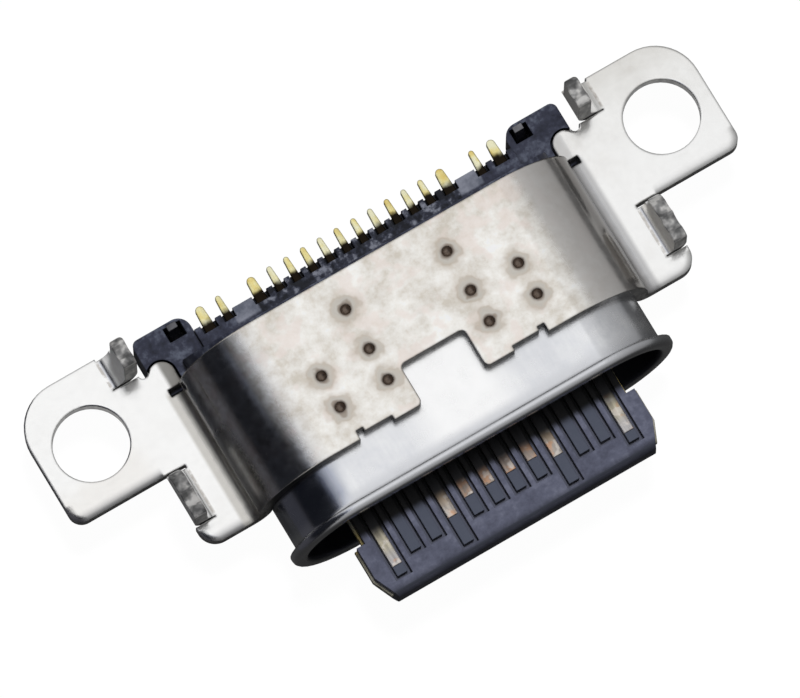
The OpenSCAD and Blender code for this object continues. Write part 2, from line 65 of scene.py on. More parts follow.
class Skin:
    """A material with a Principled shader and short calls for the nodes that feed it.

    Its fields are a point's place in mm (x, y, z, and across, from the middle to either side)
    and the way that the surface faces there (right, rear, up)."""

    def __init__(self, name, **sockets):
        self.material = bpy.data.materials.new(name)
        self.material.use_nodes = True
        self.tree = self.material.node_tree
        self.shader = self.tree.nodes["Principled BSDF"]
        for socket, value in sockets.items():
            self.shader.inputs[socket.replace("_", " ")].default_value = value
        source = self.node("ShaderNodeTexCoord").outputs
        per_mm = 1 / MM
        to_mm = self.node("ShaderNodeMapping", Vector=source["Object"], Scale=(per_mm, per_mm, per_mm))
        self.coords = to_mm.outputs[0]
        place = self.node("ShaderNodeSeparateXYZ", Vector=self.coords).outputs
        facing = self.node("ShaderNodeSeparateXYZ", Vector=source["Normal"]).outputs
        self.fields = dict(zip(("x", "y", "z", "right", "rear", "up"), (*place, *facing)))
        self.fields["across"] = self.math("ABSOLUTE", self.fields["x"])

    def node(self, kind, settings=None, **inputs):
        """A new node with its settings, its inputs fed by sockets or numbers."""
        made = self.tree.nodes.new(kind)
        for key, value in (settings or {}).items():
            setattr(made, key, value)
        for key, value in inputs.items():
            self.feed(made.inputs[key.replace("_", " ")], value)
        return made

    def feed(self, socket, value):
        if isinstance(value, bpy.types.NodeSocket):
            self.tree.links.new(value, socket)
        else:
            socket.default_value = value

    def math(self, operation, a, b=0.0, clamp=False):
        made = self.node("ShaderNodeMath", {"operation": operation, "use_clamp": clamp})
        self.feed(made.inputs[0], a)
        self.feed(made.inputs[1], b)
        return made.outputs[0]

    def vector(self, operation, a, b):
        made = self.node("ShaderNodeVectorMath", {"operation": operation})
        self.feed(made.inputs[0], a)
        self.feed(made.inputs[1], b)
        return made.outputs["Value" if operation in ("DISTANCE", "DOT_PRODUCT") else "Vector"]

    def fold(self, operation, *values):
        out = values[0]
        for value in values[1:]:
            out = self.math(operation, out, value)
        return out

    def both(self, *masks):
        """1 where all the masks are 1."""
        return self.fold("MULTIPLY", *masks)

    def either(self, *masks):
        """1 where any of the masks is 1."""
        return self.fold("MAXIMUM", *masks)

    def outside(self, mask):
        """1 less the mask."""
        return self.math("SUBTRACT", 1.0, mask)

    def weighted(self, *terms):
        """The sum of values, each times its weight."""
        return self.fold("ADD", *(self.math("MULTIPLY", value, weight) for value, weight in terms))

    def nearest(self, coords, places):
        """The distance to the nearest of the places."""
        return self.fold("MINIMUM", *(self.vector("DISTANCE", coords, place) for place in places))

    def stretch(self, scale):
        return self.node("ShaderNodeMapping", Vector=self.coords, Scale=scale).outputs[0]

    def noise(self, scale, detail, roughness=0.55, coords=None, output="Fac"):
        made = self.node("ShaderNodeTexNoise", Scale=scale, Detail=detail, Roughness=roughness,
                         Vector=coords if coords is not None else self.coords)
        return made.outputs[output]

    def step(self, value, start, end):
        """A soft step: 0 before the start, 1 past the end, which may be lower than the start."""
        made = self.node("ShaderNodeMapRange", {"interpolation_type": "SMOOTHSTEP"}, Value=value)
        made.inputs["From Min"].default_value = start
        made.inputs["From Max"].default_value = end
        return made.outputs[0]

    def zone(self, **limits):
        """A mask of soft steps in the named fields. Two limits are a step's start and end,
        and two more are the start and end of the step back to 0."""
        steps = []
        for name, ends in limits.items():
            field = self.fields[name]
            steps.append(self.step(field, *ends[:2]))
            if len(ends) == 4:
                steps.append(self.step(field, ends[3], ends[2]))
        return self.both(*steps)

    def spread(self, value, low, high, to_low, to_high):
        """The range from low to high laid out evenly over another range."""
        made = self.node("ShaderNodeMapRange", Value=value)
        for key, number in (("From Min", low), ("From Max", high), ("To Min", to_low), ("To Max", to_high)):
            made.inputs[key].default_value = number
        return made.outputs[0]

    def from_noise(self, noise, to_low, to_high):
        """The middle of a noise's range, where nearly all of it lies, spread from low to high."""
        return self.spread(noise, 0.3, 0.7, to_low, to_high)

    def ramp(self, value, stops):
        made = self.node("ShaderNodeValToRGB", Fac=value)
        set_stops(made.color_ramp, stops)
        return made.outputs[0]

    def blend(self, share, a, b, how="MIX"):
        made = self.node("ShaderNodeMix", {"data_type": "RGBA", "blend_type": how})
        self.feed(made.inputs[0], share)
        self.feed(made.inputs[6], (*a, 1.0) if isinstance(a, tuple) else a)
        self.feed(made.inputs[7], (*b, 1.0) if isinstance(b, tuple) else b)
        return made.outputs[2]

    def paint(self, colour, mask, tint, strength=1.0):
        """Lays a tint over the colour where the mask is, at its full strength or less."""
        share = mask if strength == 1.0 else self.math("MULTIPLY", mask, strength)
        return self.blend(share, colour, tint)

    def tone(self, colour, mask, factor):
        """Multiplies the colour by the factor where the mask is."""
        return self.blend(mask, colour, factor, "MULTIPLY")

    def blend_normals(self, share, a, b):
        made = self.node("ShaderNodeMix", {"data_type": "VECTOR"})
        for slot, value in ((0, share), (4, a), (5, b)):
            self.feed(made.inputs[slot], value)
        unit = self.node("ShaderNodeVectorMath", {"operation": "NORMALIZE"}, Vector=made.outputs[1])
        return unit.outputs[0]

    def hollow(self, distance):
        """1 in the open, less in grooves and pockets about as deep as the distance, in mm."""
        made = self.node("ShaderNodeAmbientOcclusion", {"samples": LOOKS_ROUND}, Distance=distance * MM)
        return made.outputs["AO"]

    def rounded(self, radius):
        """Normals turned over a small radius at the edges, in mm."""
        return self.node("ShaderNodeBevel", {"samples": LOOKS_ROUND}, Radius=radius * MM).outputs[0]

    def near_edge(self, rounded):
        """More than 0 where the rounded normals have turned away from the surface."""
        plain = self.node("ShaderNodeNewGeometry").outputs["Normal"]
        return self.math("SUBTRACT", 1.0, self.vector("DOT_PRODUCT", rounded, plain), clamp=True)

    def finish(self, colour, roughness, relief, depth, normal):
        """Links the shader. The relief is as deep as the depth, in mm, on top of the normal."""
        bump = self.node("ShaderNodeBump", Height=relief, Distance=depth * MM, Normal=normal)
        self.feed(self.shader.inputs["Base Color"], colour)
        self.feed(self.shader.inputs["Roughness"], roughness)
        self.feed(self.shader.inputs["Normal"], bump.outputs[0])
        return self.material


def set_stops(band, stops):
    """Sets a colour ramp's stops, each a place and a colour."""
    while len(band.elements) < len(stops):
        band.elements.new(1.0)
    for element, (place, colour) in zip(band.elements, stops):
        element.position = place
        element.color = (*colour, 1.0)


# The cover's plated sheet

ARCH_PLATING = ((0.4, (0.61, 0.57, 0.51)), (0.455, (0.71, 0.68, 0.635)), (0.5, (0.785, 0.765, 0.73)),
                (0.545, (0.85, 0.835, 0.805)), (0.61, (0.93, 0.925, 0.91)))
EAR_PLATING = ((0.36, (0.78, 0.765, 0.74)), (0.47, (0.86, 0.855, 0.84)), (0.62, (0.93, 0.93, 0.92)))
HEAT_RING = ((0.22, (0.36, 0.31, 0.26)), (0.34, (0.6, 0.57, 0.52)), (0.44, (0.58, 0.54, 0.48)),
             (0.54, (0.5, 0.43, 0.35)), (0.66, (0.68, 0.62, 0.55)))
TORN = ((0.36, (0.24, 0.24, 0.24)), (0.5, (0.52, 0.515, 0.51)), (0.62, (0.92, 0.91, 0.89)))
SHEAR = ((0.35, (0.28, 0.275, 0.27)), (0.52, (0.42, 0.415, 0.405)), (0.66, (0.58, 0.57, 0.55)))
SHEAR_SHADE = ((0.35, (0.016, 0.015, 0.014)), (0.52, (0.035, 0.033, 0.031)), (0.66, (0.08, 0.076, 0.07)))
BLUSH = (0.79, 0.7, 0.66)
EVEN_GREY = (0.76, 0.74, 0.72)
EAR_HIGHLIGHT = (0.95, 0.95, 0.945)
BEIGE_CORNER = (0.84, 0.81, 0.77)
PIT_BROWN = (0.28, 0.22, 0.18)
LIT_TAB_FACE = (0.86, 0.835, 0.79)
SHADED_TAB = (0.08, 0.08, 0.08)
CREASE_SHADE = (0.3, 0.26, 0.22)
ARCH_RIM_SHADE = (0.2, 0.19, 0.18)
EAR_RIM_SHADE = (0.3, 0.3, 0.31)
BEIGE_STRIP = (0.6, 0.585, 0.555)

# Factors that a zone's colour is multiplied by: above 1 a painted highlight, below 1 painted shade
FLAT_TOP_HIGHLIGHT = (1.13, 1.125, 1.11)
EAR_REAR_SHADE = (0.87, 0.862, 0.845)
RIGHT_BEND_SHADE = (0.58, 0.58, 0.59)
RIGHT_SIDE_SHADE = (0.45, 0.44, 0.435)
LEFT_BEND_SHADE = (0.45, 0.44, 0.42)
LEFT_SIDE_SHADE = (0.5, 0.5, 0.5)


def cover_metal():
    """Plated sheet, mottled on the arch and calm on the ears."""
    skin = Skin("cover_metal", Metallic=1.0)
    broad = skin.noise(scale=0.9, detail=4.0, roughness=0.6)
    patch = skin.noise(scale=2.3, detail=3.0, roughness=0.6)
    fine = skin.noise(scale=5.5, detail=4.0, roughness=0.65)
    grain = skin.noise(scale=38.0, detail=2.0, roughness=0.5)
    on_top = skin.zone(z=(1.5, 1.7))
    flat_top = skin.both(on_top, skin.zone(up=(0.95, 0.995)))
    on_ear = skin.zone(across=(4.35, 4.8))
    arch = arch_plating(skin, broad, patch, fine, flat_top)
    ear = ear_plating(skin, broad, patch)
    colour = skin.blend(on_ear, arch, ear)
    colour, in_pit = weld_heat(skin, colour, on_top)
    colour, turned = tab_faces(skin, colour)
    colour = tab_creases(skin, colour, fine)
    colour, dark_edge = sheared_edges(skin, colour)
    colour, normal = front_rims(skin, colour, on_ear, flat_top)
    colour, in_bend, left_side = arch_sides(skin, colour)
    dull = skin.either(in_pit, turned, dark_edge)
    satin = skin.either(flat_top, left_side)
    rough = skin.math("ADD", skin.from_noise(fine, 0.13, 0.22),
                      skin.weighted((dull, 0.32), (in_bend, 0.32), (turned, 0.22), (satin, 0.15)))
    relief = skin.weighted((grain, 0.5), (fine, 0.5))
    return skin.finish(colour, rough, relief, depth=0.0012, normal=normal)


def arch_plating(skin, broad, patch, fine, flat_top):
    """Warm mottled plating, even on the right curve."""
    mottle = skin.weighted((broad, 0.35), (patch, 0.35), (fine, 0.3))
    colour = skin.ramp(mottle, ARCH_PLATING)
    blush = skin.step(skin.noise(scale=1.9, detail=2.0), 0.52, 0.64)
    colour = skin.paint(colour, blush, BLUSH, strength=0.55)
    # Painted highlight: the flat top is brightened
    colour = skin.tone(colour, flat_top, FLAT_TOP_HIGHLIGHT)
    right_curve = skin.both(skin.zone(x=(2.6, 3.0)), skin.outside(flat_top))
    return skin.paint(colour, right_curve, EVEN_GREY, strength=0.8)


def ear_plating(skin, broad, patch):
    """Pale plating: painted highlight on the left ear and the right one's front, painted shade at its rear.
    """
    colour = skin.ramp(skin.weighted((broad, 0.75), (patch, 0.25)), EAR_PLATING)
    # Painted highlight on the left ear and the right ear's front, painted shade at the right ear's rear
    colour = skin.paint(colour, skin.zone(x=(-3.0, -6.0)), EAR_HIGHLIGHT, strength=0.85)
    colour = skin.paint(colour, skin.zone(x=(3.0, 5.0), y=(0.6, -0.7)), EAR_HIGHLIGHT, strength=0.7)
    colour = skin.tone(colour, skin.zone(x=(3.0, 5.0), y=(0.2, 1.6)), EAR_REAR_SHADE)
    ragged_y = skin.math("ADD", skin.fields["y"], skin.from_noise(broad, -0.3, 0.3))
    left_corner = skin.both(skin.zone(x=(-5.7, -6.3)), skin.step(ragged_y, -0.3, -0.9))
    return skin.paint(colour, left_corner, BEIGE_CORNER, strength=0.5)


def weld_places():
    for side in (-1, 1):
        for y in WELD_ROWS:
            yield WELD_SHIFT + side * WELD_INNER, y, 0.0
            if y in PAIRED_ROWS:
                yield WELD_SHIFT + side * WELD_OUTER, y, 0.0


def weld_heat(skin, colour, on_top):
    """Uneven heat rings round brown weld pits. Gives the colour and the mask of the pits."""
    flat = skin.vector("MULTIPLY", skin.coords, (1.0, 1.0, 0.0))
    wander = skin.noise(scale=3.2, detail=2.0, roughness=0.5, output="Color")
    wander = skin.vector("SUBTRACT", wander, (0.5, 0.5, 0.5))
    wander = skin.vector("MULTIPLY", wander, (RING_WANDER, RING_WANDER, 0.0))
    places = list(weld_places())
    ring = skin.nearest(skin.vector("ADD", flat, wander), places)
    heat = skin.ramp(skin.math("MULTIPLY", ring, 2.0), HEAT_RING)
    colour = skin.blend(skin.both(on_top, skin.spread(ring, 0.2, 0.44, 0.95, 0.0)), colour, heat)
    in_pit = skin.both(on_top, skin.step(skin.nearest(flat, places), 0.19, 0.05))
    return skin.paint(colour, in_pit, PIT_BROWN), in_pit


def tab_faces(skin, colour):
    """Torn tops and dull, less metallic faces of the turned-up tabs. The right inner faces are painted
    light beige as if lit, the left inner ones painted shade. Gives the colour and the mask of the tabs."""
    on_top = skin.zone(across=(4.85, 4.95), z=(0.34, 0.42), up=(0.2, 0.5))
    colour = skin.blend(on_top, colour, skin.ramp(skin.noise(scale=4.2, detail=2.0, roughness=0.5), TORN))
    turned = skin.zone(across=(4.95, 5.1, 5.84, 5.86), z=(0.01, 0.05))
    matt = skin.both(turned, skin.outside(on_top))
    right_inner = skin.both(matt, skin.zone(x=(4.85, 5.0), right=(-0.02, -0.15)))
    # Painted light: the right inner faces are beige and less metallic, as if lit
    colour = skin.paint(colour, right_inner, LIT_TAB_FACE)
    left_inner = skin.zone(x=(-4.8, -5.0), z=(0.1, 0.2), right=(0.4, 0.7))
    # Painted shade on the left inner faces
    colour = skin.paint(colour, left_inner, SHADED_TAB)
    skin.feed(skin.shader.inputs["Metallic"], skin.outside(skin.weighted((matt, 0.6), (right_inner, 0.35))))
    return colour, turned


def tab_creases(skin, colour, fine):
    """Broken lines of painted shade where the tabs leave the ears."""
    lines = []
    for middle, rear, front in TAB_CREASES:
        aside = skin.math("ABSOLUTE", skin.math("SUBTRACT", skin.fields["across"], middle))
        along = skin.zone(y=(front, front + CREASE_FADE, rear - CREASE_FADE, rear))
        lines.append(skin.both(skin.step(aside, 0.05, 0.012), along))
    crease = skin.both(skin.either(*lines), skin.step(fine, 0.3, 0.55), skin.zone(z=(-0.03, -0.01)))
    return skin.paint(colour, crease, CREASE_SHADE, strength=0.6)


def sheared_edges(skin, colour):
    """Sheared edges of the sheet. Over the shell, along the arch, they are painted shade, dark where they
    would mirror the bright shell. Gives the colour and the mask of the painted ones."""
    upright = skin.step(skin.math("ABSOLUTE", skin.fields["up"]), 0.4, 0.15)
    fore_aft = skin.step(skin.math("ABSOLUTE", skin.fields["rear"]), 0.3, 0.6)
    ear_level = skin.zone(z=(0.01, -0.02))
    arch_level = skin.zone(z=(1.4, 1.5))
    sheared = skin.both(upright, skin.either(fore_aft, ear_level, arch_level))
    over_shell = skin.zone(across=(4.5, 4.3), x=(4.0, 3.2))
    tearing = skin.noise(scale=1.0, detail=3.0, roughness=0.6, coords=skin.stretch((7.0, 7.0, 3.0)))
    # Painted shade on the sheared edges over the shell
    shear = skin.blend(over_shell, skin.ramp(tearing, SHEAR), skin.ramp(tearing, SHEAR_SHADE))
    return skin.blend(sheared, colour, shear), skin.both(sheared, over_shell)


def front_rims(skin, colour, on_ear, flat_top):
    """The front edges of the ears and legs are rolled wider than the others. Painted shade darkens the arch's
    front edge and the rolled rims of the ears and legs. Gives the colour and the normals."""
    crisp = skin.rounded(0.07)
    close = skin.math("MULTIPLY", skin.near_edge(crisp), 3.0, clamp=True)
    # Painted shade along the arch's front edge
    colour = skin.paint(colour, skin.both(close, flat_top, skin.zone(y=(-1.2, -1.5))), ARCH_RIM_SHADE)
    ear_front = skin.zone(across=(5.82, 5.9), y=(-0.85, -1.0))
    leg_front = skin.both(on_ear, skin.zone(y=(-2.68, -2.76)))
    normal = skin.blend_normals(skin.either(ear_front, leg_front), crisp, skin.rounded(0.24))
    ear_rim = skin.both(ear_front, skin.zone(y=(-1.1, -1.38)))
    leg_rim = skin.both(on_ear, skin.zone(y=(-2.84, -3.12)))
    weaker_on_right = skin.spread(skin.fields["x"], -1.0, 1.0, 1.0, 0.4)
    # Painted shade on the rolled rims, weaker on the right
    rim = skin.both(skin.either(ear_rim, leg_rim), skin.zone(up=(0.5, 0.8)), weaker_on_right)
    return skin.paint(colour, rim, EAR_RIM_SHADE), normal


def arch_sides(skin, colour):
    """Painted shade on the bends and sides at the foot of the arch, whose bends are rougher too, and a beige
    strip of the left ear beside it. Gives the colour and the masks of the bends and of the arch's left side."""
    # Painted shade on the bends and sides at the foot of the arch
    right_bend = skin.zone(x=(4.5, 4.6, 4.86, 5.0), y=(0.2, 0.0), z=(-0.03, -0.01, 0.3, 0.4))
    colour = skin.tone(colour, right_bend, RIGHT_BEND_SHADE)
    right_side = skin.zone(x=(4.15, 4.42, 4.8, 4.9), z=(0.25, 0.35), right=(0.3, 0.6))
    colour = skin.tone(colour, right_side, RIGHT_SIDE_SHADE)
    on_left = skin.zone(x=(-3.0, -4.0))
    in_bend = skin.zone(across=(4.42, 4.5, 4.74, 4.86), z=(0.34, 0.24))
    colour = skin.tone(colour, skin.both(in_bend, on_left), LEFT_BEND_SHADE)
    strip = skin.zone(across=(4.72, 4.8, 4.92, 5.02), y=(0.2, 0.0), z=(0.04, 0.02), up=(0.9, 0.99))
    colour = skin.paint(colour, skin.both(on_left, strip), BEIGE_STRIP)
    wall = skin.zone(across=(4.2, 4.3, 4.8, 4.9), y=(-1.0, -1.4), z=(0.3, 0.4), right=(-0.75, -0.9))
    left_side = skin.both(on_left, wall)
    return skin.tone(colour, left_side, LEFT_SIDE_SHADE), in_bend, left_side


# The shell's drawn tube

SHELL_PLATING = ((0.34, (0.68, 0.695, 0.73)), (0.46, (0.77, 0.78, 0.81)), (0.55, (0.83, 0.84, 0.86)),
                 (0.66, (0.92, 0.925, 0.935)))
SHELL_HIGHLIGHT = (1.0, 1.0, 1.0)
LIP_SHADE = (0.66, 0.67, 0.7)
LIP_EDGE_SHADE = (0.3, 0.3, 0.31)
TUBE_SHADE = (0.03, 0.032, 0.04)
LEFT_END_SHADE = (0.57, 0.585, 0.63)


def shell_metal():
    """Drawn tube: painted highlight in the middle, painted shade at the left end, on the lip and inside."""
    skin = Skin("shell_metal", Metallic=1.0)
    broad = skin.noise(scale=0.8, detail=3.0)
    patch = skin.noise(scale=2.6, detail=3.0, roughness=0.6)
    drawn = skin.noise(scale=1.0, detail=4.0, roughness=0.6, coords=skin.stretch((12.0, 1.2, 12.0)))
    grain = skin.noise(scale=30.0, detail=2.0)
    colour = skin.ramp(skin.weighted((broad, 0.45), (patch, 0.4), (drawn, 0.15)), SHELL_PLATING)
    # Painted highlight along the middle
    colour = skin.paint(colour, skin.zone(across=(1.5, 0.5)), SHELL_HIGHLIGHT, strength=0.9)
    # Painted shade at the left end
    colour = skin.tone(colour, skin.zone(x=(-2.75, -3.15)), LEFT_END_SHADE)
    # Painted shade on the lip, darkest at its edge
    colour = skin.paint(colour, skin.zone(y=(-3.78, -4.06)), LIP_SHADE)
    colour = skin.paint(colour, skin.zone(y=(-4.2, -4.38)), LIP_EDGE_SHADE)
    inside = inside_tube(skin)
    # Painted shade inside the tube
    colour = skin.paint(colour, inside, TUBE_SHADE)
    smooth_end = skin.zone(x=(-2.6, -3.1))
    rough = skin.math("ADD", skin.from_noise(patch, 0.2, 0.29),
                      skin.weighted((inside, 0.3), (smooth_end, -0.08)))
    relief = skin.weighted((drawn, 0.5), (grain, 0.5))
    return skin.finish(colour, rough, relief, depth=0.0015, normal=skin.rounded(0.09))


def inside_tube(skin):
    """1 on the inside of the tube, where the surface faces the middle of its round end."""
    past_flat = skin.math("MAXIMUM", skin.math("SUBTRACT", skin.fields["across"], PORT_END_X), 0.0)
    outward_x = skin.both(past_flat, skin.math("SIGN", skin.fields["x"]), skin.fields["right"])
    outward_z = skin.both(skin.math("SUBTRACT", skin.fields["z"], PORT_Z), skin.fields["up"])
    return skin.step(skin.math("ADD", outward_x, outward_z), -0.3, -1.1)


# The mid plate and the contacts

PLATE_RIM = ((0.35, (0.3, 0.285, 0.22)), (0.5, (0.42, 0.4, 0.32)), (0.65, (0.55, 0.53, 0.46)))
PLATE_GOLD = ((0.35, (0.6, 0.47, 0.18)), (0.5, (0.74, 0.62, 0.3)), (0.65, (0.82, 0.72, 0.45)))
PLATE_LEG_SHADE = ((0.35, (0.1, 0.1, 0.11)), (0.65, (0.26, 0.26, 0.28)))
TAIL_GOLD = ((0.34, (0.84, 0.66, 0.22)), (0.46, (0.95, 0.85, 0.4)), (0.58, (0.98, 0.95, 0.66)))
TAIL_ROOT_SHADE = (0.016, 0.012, 0.008)
TAIL_EDGE = (0.4, 0.29, 0.09)
WIPED_GREY = (0.2, 0.185, 0.18)
COPPER_SPOT = (0.8, 0.42, 0.22)
SPOT_HIGHLIGHT = (0.9, 0.84, 0.78)
CONTACT_SHADE = (0.03, 0.03, 0.032)


def plate_metal():
    """Beige rim round the tongue, gold at the latch notches, and painted shade, dark grey, on the legs at the
    rear.
    """
    skin = Skin("plate_metal", Metallic=1.0)
    broad = skin.noise(scale=1.6, detail=3.0)
    lines = skin.noise(scale=1.0, detail=3.0, roughness=0.6, coords=skin.stretch((2.0, 2.0, 30.0)))
    at_latch = skin.zone(y=(-4.85, -4.75, -4.4, -4.2))
    rim = skin.blend(at_latch, skin.ramp(broad, PLATE_RIM), skin.ramp(broad, PLATE_GOLD))
    # Painted shade on the legs at the rear
    colour = skin.blend(skin.zone(y=(0.0, 0.2)), rim, skin.ramp(broad, PLATE_LEG_SHADE))
    rough = skin.from_noise(lines, 0.3, 0.45)
    return skin.finish(colour, rough, lines, depth=0.002, normal=skin.rounded(0.03))


def contact_metal(name, start, tip, lip):
    """Gold strip: its tail pale and bright at the rear, with painted shade at its root; its face grey at the
    tip and tinted towards the lip, with spots of painted highlight and the lip's painted shadow near it.
    Start is where the face begins, and tip and lip are colours."""
    skin = Skin(name, Metallic=1.0)
    broad = skin.noise(scale=2.4, detail=3.0)
    wiped = skin.noise(scale=1.0, detail=3.0, roughness=0.6, coords=skin.stretch((14.0, 1.4, 8.0)))
    ragged_y = skin.math("ADD", skin.fields["y"], skin.from_noise(broad, -0.06, 0.06))
    # Painted shade at the tail's root, where it enters the comb
    tail = skin.paint(skin.ramp(broad, TAIL_GOLD), skin.step(ragged_y, 1.1, 0.96), TAIL_ROOT_SHADE)
    face = skin.blend(skin.zone(y=(start + 0.15, start + 0.5)), tip, lip)
    face = skin.paint(face, skin.spread(wiped, 0.35, 0.65, 0.0, 0.35), WIPED_GREY)
    copper = skin.step(skin.noise(scale=3.4, detail=2.0), 0.5, 0.62)
    face = skin.paint(face, copper, COPPER_SPOT, strength=0.6)
    # Spots of painted highlight
    bright = skin.step(skin.noise(scale=4.3, detail=2.0), 0.52, 0.62)
    face = skin.paint(face, bright, SPOT_HIGHLIGHT, strength=0.6)
    # Painted shadow of the lip on the face near it
    face = skin.paint(face, skin.zone(y=(-4.94, -4.52)), CONTACT_SHADE)
    on_tail = skin.zone(y=(-0.6, 0.2))
    normal = skin.rounded(0.045)
    colour = skin.blend(on_tail, face, tail)
    colour = skin.paint(colour, skin.both(skin.near_edge(normal), on_tail), TAIL_EDGE, strength=0.6)
    return skin.finish(colour, skin.from_noise(wiped, 0.32, 0.46), wiped, depth=0.0015, normal=normal)


# The tongue's and the housing's plastic

COMB_SPECKS = ((0.42, (0.006, 0.007, 0.011)), (0.54, (0.025, 0.028, 0.043)), (0.66, (0.17, 0.18, 0.22)))
COMB_BLOCK = ((0.36, (0.09, 0.1, 0.13)), (0.6, (0.2, 0.21, 0.255)))
TONGUE_END = (0.014, 0.015, 0.022)
MOUTH_BLACK = (0.004, 0.004, 0.005)


def plastic(name, patch, dark, mid, pale, edge_highlight, pad, groove):
    """Mottled moulding with painted highlights on its edges and painted shade in its grooves.
    Patch is the noise scale of its mottling.
    """
    skin = Skin(name, Specular_IOR_Level=0.3)
    broad = skin.noise(scale=patch, detail=4.0, roughness=0.6)
    speckle = skin.noise(scale=9.0, detail=3.0, roughness=0.6)
    pores = skin.noise(scale=42.0, detail=2.0, roughness=0.5)
    colour = skin.ramp(skin.weighted((broad, 0.6), (speckle, 0.4)), ((0.36, dark), (0.5, mid), (0.64, pale)))
    normal = skin.rounded(0.035)
    # Painted highlight on the edges
    colour = skin.paint(colour, skin.near_edge(normal), edge_highlight, strength=0.5)

    # Sunk pads on the tongue, and the comb with its paler blocks on the housing
    skin.fields["from_port"] = skin.math("ABSOLUTE", skin.math("SUBTRACT", skin.fields["z"], PORT_Z))
    colour = skin.paint(colour, skin.zone(from_port=(0.3, 0.31, 0.33, 0.34), y=(-1.5, -1.6)), pad)
    comb = skin.zone(across=(2.42, 2.36), y=(0.3, 0.5), up=(0.6, 0.9))
    specks = skin.ramp(skin.noise(scale=5.0, detail=3.0, roughness=0.6), COMB_SPECKS)
    colour = skin.blend(comb, colour, specks)
    block = skin.zone(across=(2.36, 2.42, 2.9, 2.96), y=(0.6, 0.66), up=(0.6, 0.9))
    colour = skin.blend(block, colour, skin.ramp(broad, COMB_BLOCK))

    # Shade at the tongue's end, in the grooves and in the mouth
    colour = skin.paint(colour, skin.zone(y=(-5.78, -6.0)), TONGUE_END, strength=0.75)
    in_mouth = skin.zone(y=(-4.72, -4.5, -0.2, 0.0))
    in_light = skin.both(skin.step(skin.hollow(0.14), 0.35, 0.85), skin.outside(in_mouth))
    colour = skin.blend(in_light, skin.blend(in_mouth, groove, MOUTH_BLACK), colour)
    relief = skin.weighted((speckle, 0.6), (pores, 0.4))
    return skin.finish(colour, skin.from_noise(speckle, 0.42, 0.6), relief, depth=0.004, normal=normal)


# Dressing

GROUND_COLUMNS = (1, 12)
POWER_COLUMNS = (4, 9)
SIGNAL_COLUMNS = (5, 6, 7, 8)


def dress(material, slot, *names):
    """Gives the named nodes a material. The slot is not used."""
    for name in names:
        obj = nodes[name]
        obj.data.materials.clear()
        obj.data.materials.append(material)


def dress_contacts(material, columns):
    for column in columns:
        dress(material, "contact_metal", f"upper_contact_{column}", f"lower_contact_{column}")


dress(cover_metal(), "cover_metal", "mounting_cover")
dress(shell_metal(), "shell_metal", "port_shell")
dress(plate_metal(), "plate_metal", "mid_plate")
dress_contacts(contact_metal("contact_ground", start=-5.45, tip=(0.6, 0.58, 0.58), lip=(0.72, 0.66, 0.5)),
               GROUND_COLUMNS)
dress_contacts(contact_metal("contact_power", start=-5.15, tip=(0.58, 0.53, 0.48), lip=(0.68, 0.52, 0.36)),
               POWER_COLUMNS)
dress_contacts(contact_metal("contact_signal", start=-4.95, tip=(0.52, 0.43, 0.37), lip=(0.62, 0.4, 0.3)),
               SIGNAL_COLUMNS)
tongue = plastic("tongue_plastic", patch=1.3, dark=(0.058, 0.062, 0.092), mid=(0.088, 0.094, 0.136),
                 pale=(0.138, 0.146, 0.2), edge_highlight=(0.17, 0.17, 0.22), pad=(0.062, 0.07, 0.097),
                 groove=(0.07, 0.074, 0.1))
housing = plastic("housing_plastic", patch=2.4, dark=(0.012, 0.0135, 0.023), mid=(0.029, 0.032, 0.051),
                  pale=(0.088, 0.099, 0.134), edge_highlight=(0.06, 0.066, 0.095), pad=(0.02, 0.022, 0.03),
                  groove=(0.01, 0.011, 0.016))
dress(tongue, "tongue_plastic", "upper_insulator", "lower_insulator")
dress(housing, "housing_plastic", "rear_housing")


# Stage

FLOOR_Z = cad_low.z / MM
FLOOR_ENDS = (-300, 300)
FLOOR_GREY = (0.035, 0.035, 0.035, 1)
FLOOR_GLOW = 0.975
MAT_GREY = (0.02, 0.02, 0.02, 1)
WHITE = (1, 1, 1, 1)
AMBIENT = 0.15

# Tints of the cards, and where the dark flags and the strip stand beside the left ear, in mm
NEUTRAL = (1.0, 1.0, 1.0)
COOL = (0.96, 0.985, 1.06)
COLD = (0.95, 0.95, 1.1)
BLUISH = (0.9, 1.0, 1.35)
FLAG_X = -8.6
STRIP_X = -8.3

# The camera: angles in degrees, target, width of the view and sensor in mm, distance in metres
AZIMUTH = -30.6
ELEVATION = 76.5
TARGET = (-0.345, -1.498, 0.0)
VIEW_WIDTH = 16.40
DISTANCE = 0.25
SENSOR_WIDTH = 36.0


def sheet(name, corners):
    """A four-sided sheet of the stage, its corners in mm."""
    mesh = bpy.data.meshes.new(name)
    mesh.from_pydata([tuple(c * MM for c in corner) for corner in corners], [], [(0, 1, 2, 3)])
    obj = bpy.data.objects.new(name, mesh)
    bpy.context.scene.collection.objects.link(obj)
    return obj


def level_sheet(name, x_ends, y_ends, z):
    (x0, x1), (y0, y1) = x_ends, y_ends
    return sheet(name, [(x0, y0, z), (x1, y0, z), (x1, y1, z), (x0, y1, z)])


def give_material(obj, name):
    """Gives the sheet a new material and returns its node tree."""
    material = bpy.data.materials.new(name)
    material.use_nodes = True
    obj.data.materials.append(material)
    return material.node_tree


def for_reflections_only(obj):
    obj.visible_camera = False
    obj.visible_diffuse = False
    obj.visible_transmission = False
    obj.visible_shadow = False


